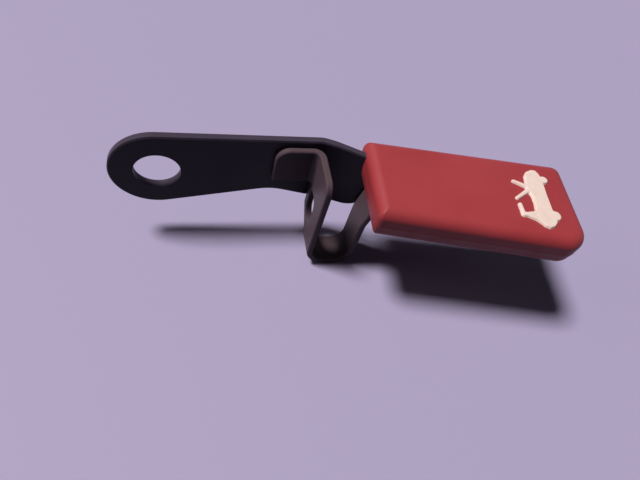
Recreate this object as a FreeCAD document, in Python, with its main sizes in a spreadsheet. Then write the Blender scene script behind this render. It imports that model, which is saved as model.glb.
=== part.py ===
import FreeCAD, Part
import math
import os
import re
import sys
import Sketcher

# Hood release handle: a flat steel lever with a pivot eye, a folded steel strap that holds the end of
# the release cable, and a red plastic grip moulded over the free ends of both.
# Frame: origin at the centre of the pivot bore, half way through the plate. X runs along the lever
# towards the grip, Y is the pivot axis and points away from the driver's side of the plate, and Z
# points out of the face of the grip that carries the symbol.

SIZES = {
    # lever plate
    "plate_thick": 2.3,
    "pivot_bore": 12.0,
    "eye_radius": 12.2,
    "underside_rise": 11.5,
    "waist_setback": 11.1,
    "waist_radius": 14.0,
    "heel_fall": 15.6,
    "heel_radius": 3.0,
    "blade_depth": 9.2,
    "bend_gap": 0.2,
    "bend_angle": 20.0,
    "bend_radius": 4.0,
    "blade_drop": 1.0,
    "fall_offset": 4.5,
    "fall_radius": 12.0,
    "blade_length": 15.5,
    "blade_corner": 6.0,
    "prong_length": 9.0,
    "prong_corner": 2.0,
    "edge_break": 0.35,
    # cable strap
    "strap_thick": 1.8,
    "strap_width": 8.75,
    "strap_gap": 0.3,
    "ear_length": 11.3,
    "ear_top": 10.3,
    "ear_bottom": -1.0,
    "ear_corner": 4.0,
    "leg_reach": 41.3,
    "leg_inset": 0.5,
    "leg_corner": 3.5,
    "taper_high": 12.5,
    "taper_low": 7.5,
    "loop_depth": 24.5,
    "loop_gap": 11.0,
    "near_bend": 6.5,
    "far_bend": 6.3,
    "fold_radius": 1.6,
    "lean_start": 6.0,
    "lean_angle": 12.0,
    "jog_radius": 6.0,
    "slot_width": 5.6,
    "slot_length": 10.0,
    "slot_inset": 2.3,
    "slot_drop": 7.4,
    "strap_break": 0.3,
    # flat core of the strap inside the grip
    "jog_length": 10.0,
    "core_length": 31.0,
    "core_height": 8.8,
    "core_corner": 2.5,
    "anchor_bore": 4.5,
    "anchor_inset": 8.0,
    "anchor_pitch": 12.0,
    # grip
    "grip_lap": 3.4,
    "grip_inset": -0.35,
    "grip_yaw": 8.3,
    "grip_length": 58.1,
    "grip_root_width": 25.6,
    "grip_tip_width": 28.9,
    "grip_root_skew": 2.3,
    "grip_tip_skew": 1.3,
    "grip_thick": 9.9,
    "grip_cover": 2.2,
    "root_corner": 1.2,
    "back_corner": 3.2,
    "front_corner": 5.5,
    "top_round": 3.0,
    "base_round": 2.0,
    # how far cutting profiles reach past the solid
    "cut_margin": 5.0,
}

doc = FreeCAD.newDocument("hood_release_handle")
sheet = doc.addObject("Spreadsheet::Sheet", "Sizes")
for row, (alias, size) in enumerate(SIZES.items(), start=1):
    sheet.set("A%d" % row, alias.replace("_", " "))
    sheet.set("B%d" % row, str(size))
    sheet.setAlias("B%d" % row, alias)
doc.recompute()


def in_sheet(text):
    """Points every size word of an expression at its cell: each alias has an underscore in it."""
    return re.sub(r"\b([a-z]+(?:_[a-z]+)+)\b", r"Sizes.\1", text)


def numbers(texts):
    """The present values of some size expressions, worked out by the document itself."""
    slate = doc.addObject("App::VarSet", "Slate")
    for index, text in enumerate(texts):
        slate.addProperty("App::PropertyFloat", "Value%d" % index)
        slate.setExpression("Value%d" % index, in_sheet(text))
    doc.recompute([slate])
    found = [getattr(slate, "Value%d" % index) for index in range(len(texts))]
    doc.removeObject(slate.Name)
    return found


def number(text):
    return numbers([text])[0]


def new_body(label):
    body = doc.addObject("PartDesign::Body", label)
    body.Label = label
    return body


def new_sketch(body, plane, name, offset="0"):
    """A sketch on one of the body's own origin planes, moved along the plane's normal by offset."""
    sketch = body.newObject("Sketcher::SketchObject", name)
    origin_plane = next(item for item in body.Origin.OriginFeatures if item.Role == plane)
    sketch.AttachmentSupport = [(origin_plane, "")]
    sketch.MapMode = "FlatFace"
    sketch.setExpression("AttachmentOffset.Base.z", in_sheet(offset))
    return sketch


def pin(sketch, item, end, across, up):
    """Holds one point of a sketch at two size expressions."""
    start = sketch.getPoint(item, end)
    for kind, value, text in (("DistanceX", start.x, across), ("DistanceY", start.y, up)):
        made = sketch.addConstraint(Sketcher.Constraint(kind, -1, 1, item, end, value))
        sketch.setExpression("Constraints[%d]" % made, in_sheet(text))


def corner_arc(before, corner, after, radius):
    """Tangent points and arc of a rounded corner, with True where the arc runs counterclockwise."""
    back = (before - corner).normalize()
    ahead = (after - corner).normalize()
    half = back.getAngle(ahead) / 2
    run = radius / math.tan(half)
    centre = corner + (back + ahead).normalize() * (radius / math.sin(half))
    first, last = corner + back * run, corner + ahead * run
    left_turn = (corner - before).cross(after - corner).z > 0
    start, stop = (first, last) if left_turn else (last, first)
    angles = [math.atan2(point.y - centre.y, point.x - centre.x) for point in (start, stop)]
    circle = Part.Circle(centre, FreeCAD.Vector(0, 0, 1), radius)
    return first, last, Part.ArcOfCircle(circle, *angles), left_turn


def draw_outline(sketch, corners):
    """Closed outline through corners given as (across, up) or (across, up, radius) expressions.

    A rounded corner keeps its sharp point as a pinned construction point on both of its lines.
    """
    flat = numbers([text for corner in corners for text in corner])
    points, radii = [], []
    for corner in corners:
        across, up = flat[:2]
        points.append(FreeCAD.Vector(across, up, 0))
        radii.append(flat[2] if len(corner) == 3 else 0)
        flat = flat[len(corner):]
    count = len(corners)
    starts, stops, arcs = list(points), list(points), [None] * count
    for index in range(count):
        if radii[index]:
            found = corner_arc(points[index - 1], points[index], points[(index + 1) % count], radii[index])
            stops[index], starts[index] = found[:2]
            arcs[index] = found[2:]
    lines = [sketch.addGeometry(Part.LineSegment(starts[index], stops[(index + 1) % count]))
             for index in range(count)]
    for index, corner in enumerate(corners):
        arriving, leaving = lines[index - 1], lines[index]
        if not arcs[index]:
            sketch.addConstraint(Sketcher.Constraint("Coincident", arriving, 2, leaving, 1))
            pin(sketch, leaving, 1, *corner)
            continue
        shape, left_turn = arcs[index]
        arc = sketch.addGeometry(shape)
        sharp = sketch.addGeometry(Part.Point(points[index]), True)
        first, last = (1, 2) if left_turn else (2, 1)
        sketch.addConstraint(Sketcher.Constraint("Tangent", arriving, 2, arc, first))
        sketch.addConstraint(Sketcher.Constraint("Tangent", arc, last, leaving, 1))
        sketch.addConstraint(Sketcher.Constraint("PointOnObject", sharp, 1, arriving))
        sketch.addConstraint(Sketcher.Constraint("PointOnObject", sharp, 1, leaving))
        made = sketch.addConstraint(Sketcher.Constraint("Radius", arc, radii[index]))
        sketch.setExpression("Constraints[%d]" % made, in_sheet(corner[2]))
        pin(sketch, sharp, 1, *corner[:2])


def draw_frame(sketch, left, right, low, high):
    """A plain rectangle round an outline, so that a pocket keeps only what the outline holds."""
    draw_outline(sketch, [(left, low), (right, low), (right, high), (left, high)])


def draw_circle(sketch, across, up, radius):
    x, y, size = numbers([across, up, radius])
    circle = sketch.addGeometry(Part.Circle(FreeCAD.Vector(x, y, 0), FreeCAD.Vector(0, 0, 1), size))
    pin(sketch, circle, 3, across, up)
    made = sketch.addConstraint(Sketcher.Constraint("Radius", circle, size))
    sketch.setExpression("Constraints[%d]" % made, in_sheet(radius))


def draw_slot(sketch, across, low, high, radius):
    """Upright slot with round ends, whose centres stand at (across, low) and (across, high)."""
    x, bottom, top, size = numbers([across, low, high, radius])
    flat = FreeCAD.Vector(0, 0, 1)
    upper = sketch.addGeometry(Part.ArcOfCircle(
        Part.Circle(FreeCAD.Vector(x, top, 0), flat, size), 0, math.pi))
    lower = sketch.addGeometry(Part.ArcOfCircle(
        Part.Circle(FreeCAD.Vector(x, bottom, 0), flat, size), math.pi, 2 * math.pi))
    right = sketch.addGeometry(Part.LineSegment(
        FreeCAD.Vector(x + size, bottom, 0), FreeCAD.Vector(x + size, top, 0)))
    left = sketch.addGeometry(Part.LineSegment(
        FreeCAD.Vector(x - size, top, 0), FreeCAD.Vector(x - size, bottom, 0)))
    for first, last in (((lower, 2), (right, 1)), ((right, 2), (upper, 1)),
                        ((upper, 2), (left, 1)), ((left, 2), (lower, 1))):
        sketch.addConstraint(Sketcher.Constraint("Tangent", *first, *last))
    for arc, up in ((upper, high), (lower, low)):
        pin(sketch, arc, 3, across, up)
        made = sketch.addConstraint(Sketcher.Constraint("Radius", arc, size))
        sketch.setExpression("Constraints[%d]" % made, in_sheet(radius))


def add_pad(body, sketch, length, name):
    pad = body.newObject("PartDesign::Pad", name)
    pad.Profile = sketch
    pad.setExpression("Length", in_sheet(length))
    doc.recompute()
    return pad


def add_pocket(body, sketch, length, name, along_normal):
    """Cuts a profile out of the body, along the sketch's normal or against it, and checks the cut."""
    volume = body.Shape.Volume
    pocket = body.newObject("PartDesign::Pocket", name)
    pocket.Profile = sketch
    pocket.Reversed = along_normal
    pocket.setExpression("Length", in_sheet(length))
    doc.recompute()
    if not body.Shape.Volume < volume:
        sys.exit("%s cut nothing" % name)
    return pocket


def add_fillet(body, edges, radius, name):
    before = body.Tip
    fillet = body.newObject("PartDesign::Fillet", name)
    fillet.Base = (before, edges)
    fillet.setExpression("Radius", in_sheet(radius))
    doc.recompute()
    return fillet


def add_chamfer(body, edges, size, name):
    before = body.Tip
    chamfer = body.newObject("PartDesign::Chamfer", name)
    chamfer.Base = (before, edges)
    chamfer.setExpression("Size", in_sheet(size))
    doc.recompute()
    return chamfer


def edges_where(shape, test):
    return ["Edge%d" % index for index, edge in enumerate(shape.Edges, start=1) if test(edge)]


def is_crease(shape, edge):
    """True where the two faces beside an edge meet at an angle, not smoothly."""
    point = edge.valueAt((edge.FirstParameter + edge.LastParameter) / 2)
    normals = [face.normalAt(*face.Surface.parameter(point))
               for face in shape.ancestorsOfType(edge, Part.Face)]
    return len(normals) == 2 and normals[0].getAngle(normals[1]) > SMOOTH_ANGLE


def runs_along(edge, axis):
    """True for a straight edge parallel to the axis."""
    if not isinstance(edge.Curve, Part.Line):
        return False
    return abs(edge.Curve.Direction.dot(axis)) > 1 - TINY


def is_rim(edge, radius):
    """True for the circular edge of a bore of this radius."""
    return isinstance(edge.Curve, Part.Circle) and close_to(edge.Curve.Radius, radius)


def close_to(value, target):
    return abs(value - target) < TINY


TINY = 1e-4
SMOOTH_ANGLE = math.radians(5)
ALONG_X = FreeCAD.Vector(1, 0, 0)
ALONG_Y = FreeCAD.Vector(0, 1, 0)
ALONG_Z = FreeCAD.Vector(0, 0, 1)

# Derived places, as expressions of the sheet. Along the lever, each one follows the strap's leg.
BEND_X = "(leg_reach + bend_gap)"
WAIST_X = "(%s - waist_setback)" % BEND_X
FALL_X = "(%s + fall_offset)" % BEND_X
BLADE_X = "(%s + blade_length)" % BEND_X
PRONG_X = "(%s + prong_length)" % BLADE_X
GRIP_X = "(%s - grip_lap)" % BLADE_X
CORE_X = "(%s + jog_length)" % BLADE_X
CORE_END_X = "(%s + core_length)" % CORE_X
EAR_X = "(leg_reach - ear_length)"
TURN_X = "(%s + (bend_radius + plate_thick / 2) * tan(bend_angle / 2 * 1 deg))" % BEND_X
MITRE = "(plate_thick / 2 * tan(bend_angle / 2 * 1 deg))"
END_SIDE = "(plate_thick / 2 * sin(bend_angle * 1 deg))"
END_BACK = "(plate_thick / 2 * cos(bend_angle * 1 deg))"
PRONG_Y = "((%s - %s) * tan(bend_angle * 1 deg))" % (TURN_X, PRONG_X)
WAIST_Z = "(%s * tan(underside_rise * 1 deg) - eye_radius / cos(underside_rise * 1 deg))" % WAIST_X
PRONG_TOP = "(eye_radius - blade_drop)"
GRIP_TOP = "(%s + grip_cover)" % PRONG_TOP
GRIP_BASE = "(%s - grip_thick)" % GRIP_TOP
PRONG_BASE = "(%s + grip_cover)" % GRIP_BASE
LEG_INNER = "(leg_reach + strap_thick)"
EAR_FACE = "(-plate_thick / 2)"
LEG_BACK = "(-plate_thick / 2 - leg_inset)"
BLADE_FALL = "((%s - %s) * tan(bend_angle * 1 deg))" % (BLADE_X, TURN_X)
BLADE_END_Y = "(-%s - plate_thick / 2 / cos(bend_angle * 1 deg))" % BLADE_FALL
STRAP_BACK = "(%s - strap_gap)" % BLADE_END_Y
STRAP_FRONT = "(%s - strap_width)" % STRAP_BACK
FAR_INNER = "(%s + loop_gap)" % LEG_INNER
LEAN_RUN = "((lean_start + core_height) * tan(lean_angle * 1 deg))"
LEAN_MITRE = "(strap_thick * tan(lean_angle / 2 * 1 deg))"
FOLD_MITRE = "(strap_thick * tan((45 - lean_angle / 2) * 1 deg))"
JOG_BACK_Y = "(%s - jog_length * tan(bend_angle * 1 deg))" % STRAP_BACK
CORE_TIP_X = "(%s - strap_thick)" % CORE_END_X
CORE_FALL = "(core_length * tan(grip_yaw * 1 deg))"


def make_lever():
    """Flat stamping with the pivot eye, bent once, with a prong that the grip is moulded over."""
    body = new_body("pivot_arm")
    plan = new_sketch(body, "XY_Plane", "LeverPlan", "-eye_radius")
    draw_outline(plan, [
        ("-cut_margin", "-plate_thick / 2"),
        ("%s - %s" % (TURN_X, MITRE), "-plate_thick / 2", "bend_radius"),
        ("%s - %s" % (PRONG_X, END_SIDE), "%s - %s" % (PRONG_Y, END_BACK)),
        ("%s + %s" % (PRONG_X, END_SIDE), "%s + %s" % (PRONG_Y, END_BACK)),
        ("%s + %s" % (TURN_X, MITRE), "plate_thick / 2", "bend_radius + plate_thick"),
        ("-cut_margin", "plate_thick / 2"),
    ])
    add_pad(body, plan, "2 * eye_radius", "LeverStrip")

    side = new_sketch(body, "XZ_Plane", "LeverSide", "-plate_thick - cut_margin")
    draw_frame(side, "-2 * cut_margin", "%s + cut_margin" % PRONG_X, "-eye_radius - cut_margin",
               "eye_radius + cut_margin")
    draw_outline(side, [
        ("0", "eye_radius"),
        ("eye_radius * sin(underside_rise * 1 deg)", "-eye_radius * cos(underside_rise * 1 deg)"),
        (WAIST_X, WAIST_Z, "waist_radius"),
        ("%s + (%s + blade_depth) / tan(heel_fall * 1 deg)" % (WAIST_X, WAIST_Z), "-blade_depth",
         "heel_radius"),
        (BLADE_X, "-blade_depth", "blade_corner"),
        (BLADE_X, PRONG_BASE, "prong_corner"),
        (PRONG_X, PRONG_BASE, "prong_corner"),
        (PRONG_X, PRONG_TOP, "prong_corner"),
        (GRIP_X, PRONG_TOP, "fall_radius"),
        (FALL_X, "eye_radius", "fall_radius"),
    ])
    add_pocket(body, side, PRONG_X, "LeverOutline", True)

    eye = new_sketch(body, "XZ_Plane", "EyeRim", "-plate_thick / 2")
    draw_circle(eye, "0", "0", "eye_radius")
    add_pad(body, eye, "plate_thick", "Eye")
    bore = new_sketch(body, "XZ_Plane", "BoreRim", "-plate_thick")
    draw_circle(bore, "0", "0", "pivot_bore / 2")
    add_pocket(body, bore, "2 * plate_thick", "PivotBore", True)
    bore_radius = number("pivot_bore / 2")
    shape = body.Shape
    rim = edges_where(shape, lambda edge: is_crease(shape, edge) and not is_rim(edge, bore_radius))
    form = body.Tip
    add_chamfer(body, rim, "edge_break", "LeverEdges")
    return body, form


def make_strap():
    """Strap folded round the cable end: ear on the lever, slotted leg, loop, and a flat core."""
    body = new_body("cable_bracket")
    side = new_sketch(body, "XZ_Plane", "StrapPath")
    draw_outline(side, [
        ("leg_reach", "ear_bottom"),
        ("leg_reach", "-loop_depth", "near_bend"),
        ("%s + strap_thick" % FAR_INNER, "-loop_depth", "far_bend"),
        ("%s + strap_thick" % FAR_INNER, "-lean_start - %s" % LEAN_MITRE, "fold_radius"),
        ("%s + %s + %s" % (FAR_INNER, LEAN_RUN, FOLD_MITRE), "core_height - strap_thick", "fold_radius"),
        (CORE_END_X, "core_height - strap_thick"),
        (CORE_END_X, "core_height"),
        ("%s + %s" % (FAR_INNER, LEAN_RUN), "core_height", "fold_radius + strap_thick"),
        (FAR_INNER, "-lean_start", "fold_radius + strap_thick"),
        (FAR_INNER, "strap_thick - loop_depth", "far_bend - strap_thick"),
        (LEG_INNER, "strap_thick - loop_depth", "near_bend - strap_thick"),
        (LEG_INNER, "ear_bottom"),
    ])
    add_pad(body, side, "-(%s) + %s + strap_width" % (STRAP_FRONT, CORE_FALL), "Strap")

    plan = new_sketch(body, "XY_Plane", "StrapPlan", "-loop_depth - cut_margin")
    draw_frame(plan, "leg_reach - cut_margin", "%s + cut_margin" % CORE_END_X,
               "%s - %s - strap_width - cut_margin" % (STRAP_FRONT, CORE_FALL), "cut_margin")
    draw_outline(plan, [
        ("leg_reach - strap_thick", STRAP_FRONT),
        (BLADE_X, STRAP_FRONT, "jog_radius"),
        (CORE_X, "%s - strap_width" % JOG_BACK_Y, "jog_radius"),
        (CORE_TIP_X, "%s - strap_width - %s" % (JOG_BACK_Y, CORE_FALL), "core_corner"),
        (CORE_TIP_X, "%s - %s" % (JOG_BACK_Y, CORE_FALL), "core_corner"),
        (CORE_X, JOG_BACK_Y, "jog_radius"),
        (BLADE_X, STRAP_BACK, "jog_radius"),
        ("%s + strap_thick / 2" % LEG_INNER, STRAP_BACK),
        ("%s + strap_thick / 2" % LEG_INNER, LEG_BACK),
        ("leg_reach - strap_thick", LEG_BACK),
    ])
    add_pocket(body, plan, "loop_depth + core_height + 2 * cut_margin", "StrapOutline", True)

    fold = new_sketch(body, "XY_Plane", "EarPlan", "ear_bottom")
    draw_outline(fold, [
        (EAR_X, EAR_FACE),
        (EAR_X, "%s - strap_thick" % EAR_FACE),
        ("leg_reach", "%s - strap_thick" % EAR_FACE, "fold_radius"),
        ("leg_reach", STRAP_FRONT),
        (LEG_INNER, STRAP_FRONT),
        (LEG_INNER, EAR_FACE, "fold_radius + strap_thick"),
    ])
    add_pad(body, fold, "ear_top - ear_bottom", "Ear")

    ear_x, inner_x, top_z, low_z, front_y, back_y, thick = numbers(
        [EAR_X, LEG_INNER, "ear_top", "ear_bottom", STRAP_FRONT, LEG_BACK, "strap_thick"])
    tip = edges_where(body.Shape, lambda edge: runs_along(edge, ALONG_Y)
                      and close_to(edge.CenterOfMass.x, ear_x) and close_to(edge.CenterOfMass.z, top_z))
    add_fillet(body, tip, "ear_corner", "EarCorner")
    corner = edges_where(body.Shape, lambda edge: runs_along(edge, ALONG_X)
                         and close_to(edge.CenterOfMass.y, front_y)
                         and close_to(edge.CenterOfMass.z, top_z) and edge.CenterOfMass.x < inner_x)
    add_fillet(body, corner, "leg_corner", "LegCorner")

    taper = new_sketch(body, "YZ_Plane", "LegTaper", "leg_reach - cut_margin")
    draw_outline(taper, [
        (LEG_BACK, "taper_high - loop_depth"),
        (STRAP_BACK, "taper_low - loop_depth"),
        (STRAP_BACK, "-loop_depth - cut_margin"),
        ("cut_margin", "-loop_depth - cut_margin"),
        ("cut_margin", "taper_high - loop_depth"),
    ])
    add_pocket(body, taper, "cut_margin + 2 * strap_thick", "LegTaperCut", True)

    slot = new_sketch(body, "YZ_Plane", "CableSlot", "leg_reach - cut_margin")
    draw_slot(slot, "%s - slot_inset - slot_width / 2" % LEG_BACK,
              "-slot_drop - (slot_length - slot_width) / 2", "-slot_drop + (slot_length - slot_width) / 2",
              "slot_width / 2")
    add_pocket(body, slot, "cut_margin + 2 * strap_thick", "CableSlotCut", True)

    middle = "%s - strap_width / 2" % JOG_BACK_Y
    for index in range(2):
        anchor = new_sketch(body, "XY_Plane", "Anchor%d" % (index + 1))
        place = "(%s - anchor_inset - %d * anchor_pitch)" % (CORE_END_X, index)
        draw_circle(anchor, place, "%s - (%s - %s) * tan(grip_yaw * 1 deg)" % (middle, place, CORE_X),
                    "anchor_bore / 2")
        add_pocket(body, anchor, "core_height + cut_margin", "AnchorCut%d" % (index + 1), True)

    # The edges at the notch under the ear stay sharp, as do the short ones through the sheet.
    shape = body.Shape
    outline = edges_where(shape, lambda edge: is_crease(shape, edge)
                          and not close_to(edge.CenterOfMass.z, low_z)
                          and not close_to(edge.CenterOfMass.y, back_y)
                          and not close_to(edge.Length, thick))
    form = body.Tip
    add_chamfer(body, outline, "strap_break", "StrapEdges")
    return body, form


def make_grip_block():
    """Outer form of the grip: a flat tapering block with rounded corners and edges."""
    body = new_body("grip_block")
    plan = new_sketch(body, "XY_Plane", "GripPlan")
    draw_outline(plan, [
        ("grip_root_skew", "-grip_root_width", "root_corner"),
        ("grip_length + grip_tip_skew", "-grip_tip_width", "front_corner"),
        ("grip_length", "0", "back_corner"),
        ("0", "0", "root_corner"),
    ])
    add_pad(body, plan, "grip_thick", "GripBlock")
    thick = number("grip_thick")
    upper = edges_where(body.Shape, lambda edge: close_to(edge.BoundBox.ZMin, thick))
    add_fillet(body, upper, "top_round", "TopEdges")
    lower = edges_where(body.Shape, lambda edge: close_to(edge.BoundBox.ZMax, 0))
    add_fillet(body, lower, "base_round", "BaseEdges")
    body.setExpression("Placement.Base.x", in_sheet(GRIP_X))
    body.setExpression("Placement.Base.y", in_sheet("-grip_inset"))
    body.setExpression("Placement.Base.z", in_sheet(GRIP_BASE))
    body.Placement.Rotation = FreeCAD.Rotation(-ALONG_Z, number("grip_yaw"))
    body.setExpression("Placement.Rotation.Angle", in_sheet("grip_yaw * 1 deg"))
    doc.recompute()
    return body


def mould_grip(block, steel):
    """The grip is moulded over the steel, so each steel form, before its edges are broken, hollows it."""
    grip = block
    for index, form in enumerate(steel, start=1):
        binder = doc.addObject("PartDesign::SubShapeBinder", "Core%d" % index)
        binder.Support = [(form.getParentGeoFeatureGroup(), ("%s." % form.Name,))]
        cut = doc.addObject("Part::Cut", "Mould%d" % index)
        cut.Base = grip
        cut.Tool = binder
        grip = cut
        doc.recompute()
    grip.Label = "handle_grip"
    return grip


def check_document(parts):
    for item in doc.Objects:
        if "Invalid" in item.State or "Error" in item.State:
            sys.exit("%s failed: %s" % (item.Name, item.State))
    for part in parts:
        shape = part.Shape
        if shape.isNull() or not shape.isValid() or len(shape.Solids) != 1:
            sys.exit("%s is not one valid solid" % part.Label)


def main():
    lever, lever_form = make_lever()
    strap, strap_form = make_strap()
    grip = mould_grip(make_grip_block(), [lever_form, strap_form])
    parts = [lever, strap, grip]
    check_document(parts)
    os.makedirs("parts", exist_ok=True)
    for part in parts:
        part.Shape.exportStep("parts/%s.step" % part.Label)
        print("%s: %.1f mm3, box %s" % (part.Label, part.Shape.Volume, part.Shape.BoundBox))


main()
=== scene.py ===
import math

import bpy
import numpy as np
from mathutils import Matrix


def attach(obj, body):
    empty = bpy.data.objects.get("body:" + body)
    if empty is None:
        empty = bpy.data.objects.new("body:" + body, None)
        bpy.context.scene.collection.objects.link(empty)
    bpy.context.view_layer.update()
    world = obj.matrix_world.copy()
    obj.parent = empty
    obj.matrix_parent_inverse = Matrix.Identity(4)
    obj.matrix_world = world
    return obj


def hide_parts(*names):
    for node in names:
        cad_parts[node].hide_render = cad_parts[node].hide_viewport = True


# Appearance of the hood release handle. Sizes are in millimetres here and become metres in the mesh.
MM = 0.001

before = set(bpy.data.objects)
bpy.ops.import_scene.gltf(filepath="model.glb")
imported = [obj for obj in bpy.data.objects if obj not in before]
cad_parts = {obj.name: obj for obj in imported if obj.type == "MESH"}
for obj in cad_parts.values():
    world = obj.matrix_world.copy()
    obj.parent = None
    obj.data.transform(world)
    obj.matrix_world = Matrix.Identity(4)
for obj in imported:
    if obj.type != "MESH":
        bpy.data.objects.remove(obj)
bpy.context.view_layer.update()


# Meshes

def make_piece(name, points, faces, material):
    """A smooth-shaded piece at the origin from points in millimetres and a list of faces."""
    mesh = bpy.data.meshes.new(name)
    mesh.from_pydata((np.asarray(points) * MM).tolist(), [], faces)
    mesh.polygons.foreach_set("use_smooth", [True] * len(mesh.polygons))
    mesh.materials.append(material)
    mesh.update()
    piece = bpy.data.objects.new(name, mesh)
    bpy.context.scene.collection.objects.link(piece)
    return piece


def line_meeting(point_a, along_a, point_b, along_b):
    """Where two lines of the plane meet, for arrays of lines."""
    gap = point_b - point_a
    cross = along_a[..., 0] * along_b[..., 1] - along_a[..., 1] * along_b[..., 0]
    reach = (gap[..., 0] * along_b[..., 1] - gap[..., 1] * along_b[..., 0]) / cross
    return point_a + along_a * reach[..., None]


def rounded_outline(corners, radii, inset, arc_steps, side_steps):
    """Rings of points on a counterclockwise rounded polygon, one ring for each inset.

    Each corner's arc is centred where its two sides, moved in by inset plus radius, meet. The radius
    shrinks by the inset, down to a small share of itself, so every ring stays round and smooth.
    """
    least_share = 0.12
    corners, radii = np.asarray(corners, float), np.asarray(radii, float)
    inset = np.asarray(inset, float)[:, None]
    radius = np.maximum(radii - inset, least_share * radii)
    ahead = np.roll(corners, -1, axis=0) - corners
    ahead /= np.linalg.norm(ahead, axis=1, keepdims=True)
    inward = np.stack([-ahead[:, 1], ahead[:, 0]], axis=-1)
    shift = (inset + radius)[..., None]
    before, normal_before = np.roll(ahead, 1, axis=0), np.roll(inward, 1, axis=0)
    centre = line_meeting(corners + normal_before * shift, before + 0 * shift,
                          corners + inward * shift, ahead + 0 * shift)
    start = np.arctan2(-normal_before[:, 1], -normal_before[:, 0])
    turn = np.mod(np.arctan2(-inward[:, 1], -inward[:, 0]) - start, 2 * math.pi)
    angle = start[:, None] + turn[:, None] * np.linspace(0, 1, arc_steps)
    spoke = np.stack([np.cos(angle), np.sin(angle)], axis=-1)
    arc = centre[:, :, None, :] + radius[:, :, None, None] * spoke
    blend = np.linspace(0, 1, side_steps + 2)[1:-1, None]
    side = arc[:, :, -1:, :] * (1 - blend) + np.roll(arc, -1, axis=1)[:, :, :1, :] * blend
    return np.concatenate([arc, side], axis=2).reshape(len(inset), -1, 2)


def capped_tube_faces(rings, around):
    """Quads between rings of points, and one fan at each end to a pole point stored last."""
    ring, spot = np.meshgrid(np.arange(rings - 1), np.arange(around), indexing="ij")
    here, beside = ring * around + spot, ring * around + (spot + 1) % around
    quads = np.stack([here, beside, beside + around, here + around], axis=-1).reshape(-1, 4)
    spot = np.arange(around)
    low_pole, high_pole = rings * around, rings * around + 1
    top = (rings - 1) * around
    low = np.stack([(spot + 1) % around, spot, np.full(around, low_pole)], axis=-1)
    high = np.stack([top + spot, top + (spot + 1) % around, np.full(around, high_pole)], axis=-1)
    return quads.tolist() + low.tolist() + high.tolist()


# The grip's own frame: along it, across it, and up from its base, as the part's source places it.
GRIP_START = np.array([53.6, 0.35, 3.5])
GRIP_YAW = math.radians(8.3)
GRIP_LENGTH = 58.1
GRIP_THICK = 9.9
ROOT_WIDTH = 25.6
TIP_WIDTH = 28.9
ROOT_SKEW = 2.3
TIP_SKEW = 1.3


def place_on_grip(points):
    """Turns points of the grip's own frame by its yaw and moves them to its start."""
    along, across, up = np.moveaxis(np.asarray(points, float), -1, 0)
    turned = [along * math.cos(GRIP_YAW) + across * math.sin(GRIP_YAW),
              across * math.cos(GRIP_YAW) - along * math.sin(GRIP_YAW), up]
    return np.stack(turned, axis=-1) + GRIP_START


def grip_body(material):
    """Moulded slab: rings of a rounded outline whose inset and height follow a soft edge profile.

    The side leans in below the parting line, where a fine bead stands proud, the upper and lower edges
    are quarter rounds, and both flat faces crown by a fraction of a millimetre to their middle.
    """
    corners = [(ROOT_SKEW, -ROOT_WIDTH), (GRIP_LENGTH + TIP_SKEW, -TIP_WIDTH), (GRIP_LENGTH, 0), (0, 0)]
    radii = [1.6, 5.8, 3.2, 1.6]
    top_round, base_round = 3.0, 2.0
    parting, lean, bead_proud, bead_half = 4.4, 0.55, 0.03, 0.07
    within, base_crown, top_crown = 0.05, 0.12, 0.05
    quarter = np.linspace(0, math.pi / 2, 13)
    side_up = parting + np.array([-1.8, -0.9, -0.16, -0.07, 0, 0.07, 0.16, 0.9, 1.8])
    height = np.concatenate([base_round * (1 - np.cos(quarter)), side_up,
                             GRIP_THICK - top_round * (1 - np.sin(quarter))])
    rounding = np.concatenate([base_round * (1 - np.sin(quarter)), 0 * side_up,
                               top_round * (1 - np.cos(quarter))])
    bead = bead_proud * np.exp(-((height - parting) / bead_half) ** 2)
    inset = within + rounding + lean * np.clip(1 - height / parting, 0, 1) - bead
    rings = rounded_outline(corners, radii, inset, arc_steps=17, side_steps=22)
    middle = np.mean(corners, axis=0)
    share = np.linspace(1, 0, 16)[1:-1, None, None]
    low_cap = middle + (rings[:1] - middle) * share[::-1]
    high_cap = middle + (rings[-1:] - middle) * share
    flat = share[:, 0, 0]
    flow = np.concatenate([low_cap, rings, high_cap])
    up = np.concatenate([base_crown * (1 - flat[::-1] ** 4), height,
                         GRIP_THICK + top_crown * (1 - flat ** 4)])
    points = np.concatenate([flow, np.repeat(up[:, None, None], flow.shape[1], axis=1)], axis=-1)
    poles = [[*middle, base_crown], [*middle, GRIP_THICK + top_crown]]
    points = np.concatenate([points.reshape(-1, 3), poles])
    return make_piece("grip_body", place_on_grip(points), capped_tube_faces(*flow.shape[:2]), material)


def near_stroke(x, y, start, end, start_radius, end_radius):
    """Signed distance to a stroke with round ends, its radius changing evenly: negative inside it."""
    (ax, ay), (run, rise) = start, np.subtract(end, start)
    share = np.clip(((x - ax) * run + (y - ay) * rise) / (run ** 2 + rise ** 2), 0, 1)
    radius = start_radius + share * (end_radius - start_radius)
    return np.hypot(x - ax - share * run, y - ay - share * rise) - radius


def near_polygon(x, y, corners):
    """Signed distance to a filled polygon: that of the nearest side, negative inside."""
    distance = np.full(x.shape, np.inf)
    inside = np.zeros(x.shape, bool)
    for (ax, ay), (bx, by) in zip(corners, corners[1:] + corners[:1]):
        distance = np.minimum(distance, near_stroke(x, y, (ax, ay), (bx, by), 0, 0))
        crosses = (ay > y) != (by > y)
        with np.errstate(divide="ignore", invalid="ignore"):
            inside ^= crosses & (x < (bx - ax) * (y - ay) / (by - ay) + ax)
    return np.where(inside, -distance, distance)


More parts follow.
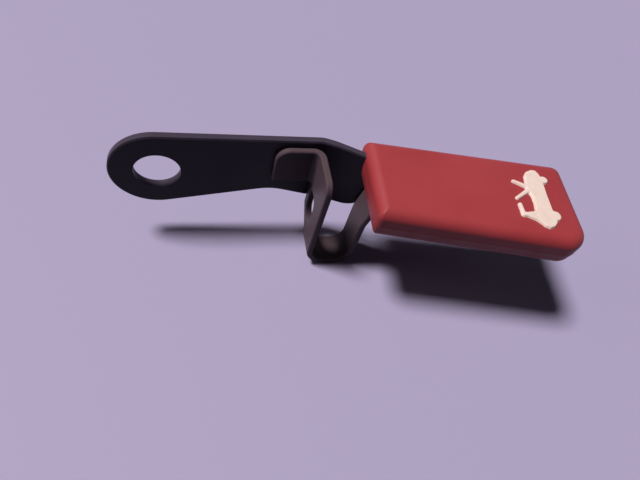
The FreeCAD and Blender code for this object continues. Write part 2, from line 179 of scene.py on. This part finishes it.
def soft_union(distances, blend):
    """Joins distance fields so that the corner between two of them is filled by a small round."""
    total = distances[0]
    for other in distances[1:]:
        mix = np.clip(0.5 + 0.5 * (other - total) / blend, 0, 1)
        total = other * (1 - mix) + total * mix - blend * mix * (1 - mix)
    return total


# The sign: a car from its side with the hood up, front towards the back edge, about its own middle.
# A wheel is a centre and a radius, and a stroke is its start, its end and the radius at each.
SIGN_MIDDLE = (47.3, -14.0)
SIGN_ALONG = (-8.0, 6.2)
SIGN_ACROSS = (-11.2, 11.4)
SIGN_BODY = [(-2.4, 6.9), (-1.4, 8.5), (0.0, 9.3), (1.1, 9.3), (1.8, 8.3), (2.3, 6.2), (2.2, 1.0),
             (2.35, -3.6), (2.6, -8.2), (1.6, -9.4), (0.3, -10.0), (-0.8, -9.6), (-2.4, -8.0),
             (-2.2, -5.2), (-1.9, -2.4), (-2.0, -0.2), (-2.6, 1.4), (-2.7, 4.6)]
SIGN_WHEELS = [((3.0, 6.4), 1.3), ((3.0, -6.0), 1.6)]
SIGN_STROKES = [((-6.45, 4.65), (-2.4, 3.0), 0.5, 0.72), ((-6.7, -1.2), (-2.3, 2.3), 0.55, 0.72),
                ((-6.5, -3.4), (-6.25, -6.6), 0.6, 0.64), ((-6.2, -6.6), (-2.2, -5.7), 0.62, 0.7),
                ((-5.8, -6.5), (-1.6, -7.8), 0.5, 0.95)]


def raised_sign(material):
    """Height field: full height inside the sign's outline, rounded down to the grip at its edge.

    Outside the outline it falls on to a little below the grip's face, so that no gap shows.
    """
    step, edge, height, sunk, lift = 0.11, 0.42, 0.62, -0.3, 0.04
    body_round, filling, back_gap = 0.35, 0.5, 0.05
    x, y = np.meshgrid(np.arange(*SIGN_ALONG, step), np.arange(*SIGN_ACROSS, step), indexing="ij")
    fields = [near_polygon(x, y, SIGN_BODY) - body_round]
    fields += [np.hypot(x - cx, y - cy) - radius for (cx, cy), radius in SIGN_WHEELS]
    fields += [near_stroke(x, y, *stroke) for stroke in SIGN_STROKES]
    distance = soft_union(fields, filling)
    rise = np.sqrt(np.clip(1 - np.clip(1 + distance / edge, 0, 1) ** 2, 0, 1)) * height
    wall = np.clip(distance / edge, 0, 1) * sunk
    face = GRIP_THICK + lift
    top = face + np.where(distance < 0, rise, wall)
    points, faces = sheet_with_back(x, y, top, distance < edge, face + sunk - back_gap)
    return make_piece("hood_sign", place_on_grip(points + [*SIGN_MIDDLE, 0]), faces, material)


def sheet_with_back(x, y, top, kept, bottom):
    """Closes a height field with a flat back, wherever the mask keeps all four corners of a cell.

    The rim is every directed edge of the front that no neighbouring cell runs the other way.
    """
    rows, columns = x.shape
    cell = kept[:-1, :-1] & kept[1:, :-1] & kept[1:, 1:] & kept[:-1, 1:]
    row, column = np.nonzero(cell)
    here = row * columns + column
    front = np.stack([here, here + columns, here + columns + 1, here + 1], axis=-1)
    count = rows * columns
    back = front[:, ::-1] + count
    directed = np.concatenate([np.roll(front, -turn, axis=1)[:, :2] for turn in range(4)])
    key, mirror = directed[:, 0] * count + directed[:, 1], directed[:, 1] * count + directed[:, 0]
    rim = directed[~np.isin(key, mirror)]
    wall = np.stack([rim[:, 1], rim[:, 0], rim[:, 0] + count, rim[:, 1] + count], axis=-1)
    faces = np.concatenate([front, back, wall])
    used, faces = np.unique(faces, return_inverse=True)
    level = np.concatenate([top.ravel(), np.full(count, bottom)])
    points = np.stack([np.tile(x.ravel(), 2), np.tile(y.ravel(), 2), level], axis=-1)
    return points[used], faces.reshape(-1, 4).tolist()


# Materials

def linear(hex_colour):
    """Opaque linear colour of an sRGB hex value."""
    value = np.array([int(hex_colour[place:place + 2], 16) for place in (1, 3, 5)]) / 255
    value = np.where(value <= 0.04045, value / 12.92, ((value + 0.055) / 1.055) ** 2.4)
    return (*value.tolist(), 1.0)


def new_material(name):
    """An empty node material."""
    material = bpy.data.materials.new(name)
    material.use_nodes = True
    material.node_tree.nodes.clear()
    return material


def add(owner, kind, links=None, sockets=None, **settings):
    """Adds a node to a material or world, with settings, socket values, and links to (node, output)."""
    made = owner.node_tree.nodes.new("ShaderNode" + kind)
    for key, value in settings.items():
        setattr(made, key, value)
    for key, value in (sockets or {}).items():
        made.inputs[key].default_value = value
    for key, (source, output) in (links or {}).items():
        owner.node_tree.links.new(source.outputs[output], made.inputs[key])
    return made


def cells(width):
    """Noise scale whose cells are about this many millimetres wide."""
    return 1 / (width * MM)


def colour_ramp(material, source, stops):
    """A ramp through (place, sRGB hex) stops, driven by a node's Fac or Value output."""
    ramp = add(material, "ValToRGB", {"Fac": source})
    elements = ramp.color_ramp.elements
    while len(elements) < len(stops):
        elements.new(0.5)
    for element, (place, colour) in zip(elements, stops):
        element.position = place
        element.color = linear(colour)
    return ramp


def finish(material, shader):
    """Wires the shader to the material's output."""
    add(material, "OutputMaterial", {"Surface": (shader, "BSDF")})
    return material


def black_electrocoat(name, dark, light, thinned_edge_and_painted_highlight_colour):
    """Black electrocoat on pressed steel: baked, thinly laid, low in gloss, with a faint flow in the film.

    To the eye: near-black with a weak sheen, slightly greyer where it has been handled, and a
    fine unevenness that breaks up the reflections. Surfaces that face neither front nor back, such as
    the arm's shear-cut edges and the wall of its eye, are greyer. Part of this is the coat running thinner
    there, and part is a painted highlight that stands in for the light these edges catch.
    """
    coat = new_material(name)
    place = add(coat, "TexCoord")
    spot = (place, "Object")
    handled = add(coat, "TexNoise", {"Vector": spot},
                  {"Scale": cells(11), "Detail": 4.0, "Roughness": 0.6})
    film = add(coat, "TexNoise", {"Vector": spot},
               {"Scale": cells(1.1), "Detail": 2.0, "Roughness": 0.5})
    grain = add(coat, "TexNoise", {"Vector": spot}, {"Scale": cells(0.3), "Detail": 1.0})
    facing = add(coat, "SeparateXYZ", {"Vector": (place, "Normal")})
    front = add(coat, "Math", {0: (facing, "Y")}, operation="ABSOLUTE")
    # Faces that point neither front nor back get lighter: partly a thinner coat on cut edges, partly a
    # painted highlight for the light they catch.
    thinned_edge_and_painted_highlight_mask = add(coat, "MapRange", {"Value": (front, "Value")},
                  {"From Min": 0.75, "From Max": 0.3, "To Max": 0.5})
    tone = add(coat, "Math", {0: (handled, "Fac"), 2: (thinned_edge_and_painted_highlight_mask, "Result")}, {1: 0.5},
               operation="MULTIPLY_ADD")
    # The last two stops are the edge grey: part thinner coat, part painted highlight.
    colour = colour_ramp(coat, (tone, "Value"), [(0.15, dark), (0.36, light), (0.65, thinned_edge_and_painted_highlight_colour), (0.9, thinned_edge_and_painted_highlight_colour)])
    gloss = add(coat, "MapRange", {"Value": (handled, "Fac")},
                {"From Min": 0.3, "From Max": 0.7, "To Min": 0.36, "To Max": 0.5})
    rough = add(coat, "Math", {0: (grain, "Fac"), 1: (film, "Fac")}, operation="ADD")
    bump = add(coat, "Bump", {"Height": (rough, "Value")}, {"Strength": 0.12, "Distance": 0.0001})
    shader = add(coat, "BsdfPrincipled",
                 {"Base Color": (colour, "Color"), "Roughness": (gloss, "Result"),
                  "Normal": (bump, "Normal")},
                 {"Metallic": 0.0, "IOR": 1.5, "Specular IOR Level": 0.15})
    return finish(coat, shader)


def moulded_red():
    """Red ABS, injection moulded in a fine spark-eroded mould.

    To the eye: a satin red, a little lighter in broad clouds, duller where fingers have rubbed it, with
    a fine leathery grain drawn at 0.35 mm, coarser than the real 0.1 mm so that it shows.
    """
    plastic = new_material("red_moulded_abs")
    place = add(plastic, "TexCoord")
    spot = (place, "Object")
    cloud = add(plastic, "TexNoise", {"Vector": spot},
                {"Scale": cells(26), "Detail": 3.0, "Roughness": 0.55})
    grain = add(plastic, "TexNoise", {"Vector": spot},
                {"Scale": cells(0.35), "Detail": 2.0, "Roughness": 0.6})
    rub = add(plastic, "TexNoise", {"Vector": spot},
              {"Scale": cells(6), "Detail": 5.0, "Roughness": 0.65})
    colour = colour_ramp(plastic, (cloud, "Fac"), [(0.3, "#953036"), (0.7, "#9F3A40")])
    gloss = add(plastic, "MapRange", {"Value": (rub, "Fac")},
                {"From Min": 0.3, "From Max": 0.7, "To Min": 0.4, "To Max": 0.52})
    bump = add(plastic, "Bump", {"Height": (grain, "Fac")}, {"Strength": 0.16, "Distance": 0.0001})
    shader = add(plastic, "BsdfPrincipled",
                 {"Base Color": (colour, "Color"), "Roughness": (gloss, "Result"),
                  "Normal": (bump, "Normal")},
                 {"IOR": 1.53, "Specular IOR Level": 0.32, "Subsurface Weight": 0.03,
                  "Subsurface Scale": 0.001})
    return finish(plastic, shader)


def sign_white():
    """Warm white ABS of the raised sign, injection moulded against a smooth mould.

    To the eye: a soft warm white with a weak gloss and faint specks of soiling.
    """
    plastic = new_material("warm_white_abs")
    place = add(plastic, "TexCoord")
    spot = (place, "Object")
    soil = add(plastic, "TexNoise", {"Vector": spot},
               {"Scale": cells(2.4), "Detail": 5.0, "Roughness": 0.7})
    colour = colour_ramp(plastic, (soil, "Fac"), [(0.3, "#E2CBC3"), (0.6, "#E9D5CE")])
    bump = add(plastic, "Bump", {"Height": (soil, "Fac")}, {"Strength": 0.1, "Distance": 0.0001})
    shader = add(plastic, "BsdfPrincipled",
                 {"Base Color": (colour, "Color"), "Normal": (bump, "Normal")},
                 {"IOR": 1.53, "Roughness": 0.42, "Subsurface Weight": 0.08, "Subsurface Scale": 0.001})
    return finish(plastic, shader)


def seen_rays(owner):
    """Socket that is 1 for rays of the camera, of gloss and through glass, and 0 for bounced light."""
    ray = add(owner, "LightPath")
    either = add(owner, "Math", {0: (ray, "Is Camera Ray"), 1: (ray, "Is Glossy Ray")},
                 operation="MAXIMUM")
    seen = add(owner, "Math", {0: (either, "Value"), 1: (ray, "Is Transmission Ray")},
               operation="MAXIMUM")
    return seen, "Value"


def pale_table():
    """Pale laminate floor, matt, with a violet cast, and darker to bounced light, so that little rises."""
    laminate = new_material("pale_laminate")
    colour = colour_ramp(laminate, seen_rays(laminate), [(0.0, "#2A2631"), (1.0, "#A49CBF")])
    shader = add(laminate, "BsdfPrincipled", {"Base Color": (colour, "Color")},
                 {"Roughness": 0.7, "Specular IOR Level": 0.3})
    return finish(laminate, shader)


# Pieces

arm_coat = black_electrocoat("black_electrocoat_arm", "#1B1621", "#2A2432", "#403847")
# The strap has the same black electrocoat as the arm, but in lighter colours. This is painted light that
# stands in for the lamp on its faces; it is not a lighter finish.
strap_coat_painted_light = black_electrocoat("black_electrocoat_strap_painted_light", "#3F333A", "#4E3F48", "#52434B")
for node, coat in (("pivot_arm", arm_coat), ("cable_bracket", strap_coat_painted_light)):
    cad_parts[node].data.materials.clear()
    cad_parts[node].data.materials.append(coat)

grip = grip_body(moulded_red())
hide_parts("handle_grip")
sign = raised_sign(sign_white())
for piece in (grip, sign):
    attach(piece, "root")


# Floor, light and camera

def flat_floor(level, half):
    """A square plane at a height, centred under the part."""
    points = [(-half, -half, level), (half, -half, level), (half, half, level), (-half, half, level)]
    return make_piece("floor", points, [(0, 1, 2, 3)], pale_table())


def stand(item, right, back, place):
    """Links a lamp or camera, turned by its right and back directions, at a place in millimetres."""
    right, back = (np.array(axis, float) / np.linalg.norm(axis) for axis in (right, back))
    turn = np.eye(4)
    turn[:3, 0], turn[:3, 1], turn[:3, 2] = right, np.cross(back, right), back
    turn[:3, 3] = np.array(place) * MM
    item.matrix_world = Matrix(turn.tolist())
    bpy.context.scene.collection.objects.link(item)


def soft_light(name, source, spread, strength, colour):
    """A distant light from a direction, spread over an angle in degrees: it lights all evenly."""
    data = bpy.data.lights.new(name, "SUN")
    data.angle = math.radians(spread)
    data.energy = strength
    data.color = linear(colour)[:3]
    stand(bpy.data.objects.new(name, data), np.cross((0, 1, 0), source), source, (0, 0, 0))


FLOOR_LEVEL = -24.5
FLOOR_HALF = 3000
KEY_FROM = (-215, 60, 430)
FILL_FROM = (-410, 72, 160)
flat_floor(FLOOR_LEVEL, FLOOR_HALF)
soft_light("key_light", KEY_FROM, 13, 3.8, "#FFFAF4")
soft_light("fill_light", FILL_FROM, 26, 0.26, "#FFF2EE")

world = bpy.data.worlds.new("soft_room")
world.use_nodes = True
room = world.node_tree.nodes["Background"]
room.inputs["Color"].default_value = linear("#E4E0F0")
level = add(world, "MapRange", {"Value": seen_rays(world)}, {"To Min": 0.02, "To Max": 0.4})
world.node_tree.links.new(level.outputs["Result"], room.inputs["Strength"])
bpy.context.scene.world = world

# The photograph's camera, worked out from the lever's outline.
CAMERA_AT = (5.5, -95.05, 106.9)
CAMERA_RIGHT = (0.9656, -0.1609, 0.2041)
CAMERA_UP = (0.0194, 0.8281, 0.5603)
camera_data = bpy.data.cameras.new("camera")
camera_data.sensor_width = 36.0
camera_data.lens = 29.25
camera_data.clip_start = 0.005
camera = bpy.data.objects.new("camera", camera_data)
stand(camera, CAMERA_RIGHT, np.cross(CAMERA_RIGHT, CAMERA_UP), CAMERA_AT)
bpy.context.scene.camera = camera
bpy.context.scene.view_settings.view_transform = "Standard"
